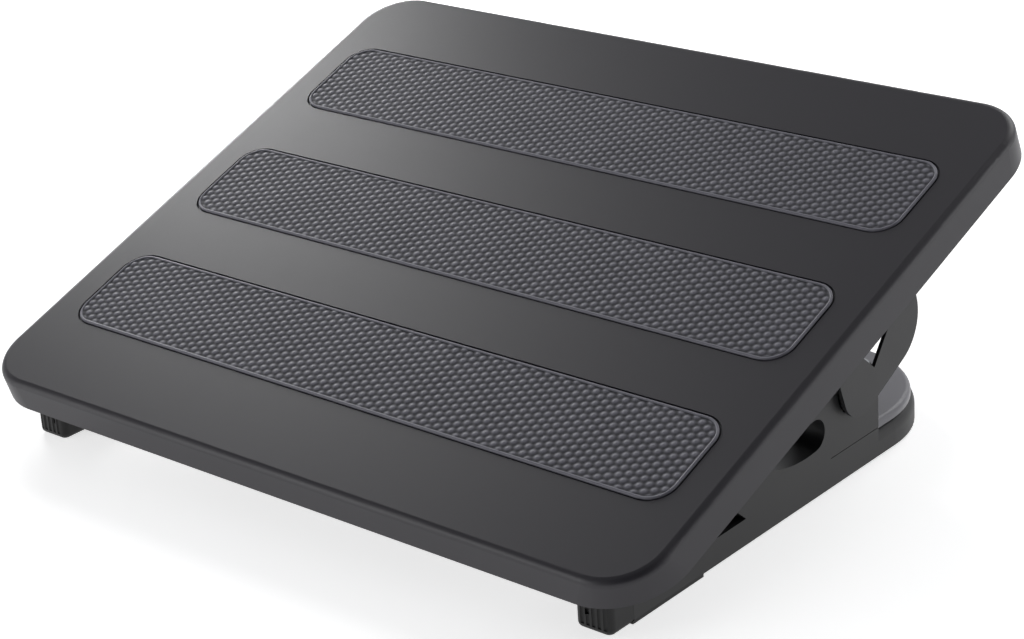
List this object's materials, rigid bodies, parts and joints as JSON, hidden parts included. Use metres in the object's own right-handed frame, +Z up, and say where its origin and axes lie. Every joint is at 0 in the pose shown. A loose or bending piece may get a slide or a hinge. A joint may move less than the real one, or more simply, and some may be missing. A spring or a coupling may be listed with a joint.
{
  "type": "under desk footrest",
  "caption": "Tilting under desk footrest: a ribbed moulded deck with rubber treads, on steel ears that pivot on a low U-shaped base.",
  "frame": {"origin": "on the floor, under the middle of the whole as shown", "axes": "+X to the right as the user sits, parallel to the tilt axis; +Y away from the user; +Z up"},
  "size_m": [0.456, 0.3524, 0.1591],
  "materials": {
    "deck_plastic": "fine satin grain",
    "tread_rubber": "matt, raised diamonds",
    "ear_steel": "satin powder coat",
    "zinc_steel": "zinc plated",
    "base_plastic": "fine satin grain",
    "cover_plastic": "fine satin grain",
    "foot_rubber": "matt",
    "bearing_plastic": "natural"
  },
  "bodies": {
    "base": {"base_frame": "base_plastic", "rear_cover": "cover_plastic", "cover_screws": "zinc_steel", "bracket_left": "base_plastic", "bracket_right": "base_plastic", "bracket_screws_left": "zinc_steel", "bracket_screws_right": "zinc_steel", "pivot_bush_left": "bearing_plastic", "pivot_bush_right": "bearing_plastic", "friction_washer_left": "bearing_plastic", "friction_washer_right": "bearing_plastic", "front_boot_left": "foot_rubber", "front_boot_right": "foot_rubber", "rear_foot_left": "foot_rubber", "rear_foot_right": "foot_rubber"},
    "deck_unit": {"deck": "deck_plastic", "tread_front": "tread_rubber", "tread_middle": "tread_rubber", "tread_rear": "tread_rubber", "ear_left": "ear_steel", "ear_right": "ear_steel", "ear_screws_left": "zinc_steel", "ear_screws_right": "zinc_steel", "pivot_pin_left": "zinc_steel", "pivot_pin_right": "zinc_steel", "spring_washer_left": "zinc_steel", "spring_washer_right": "zinc_steel", "flat_washer_left": "zinc_steel", "flat_washer_right": "zinc_steel", "lock_nut_left": "zinc_steel", "lock_nut_right": "zinc_steel"}
  },
  "joints": [
    {"name": "deck_tilt", "type": "hinge", "parent": "base", "child": "deck_unit", "pos_m": [0, 0.03772, 0.0502], "axis": [1, 0, 0], "range_deg": [-20, 0]}
  ]
}
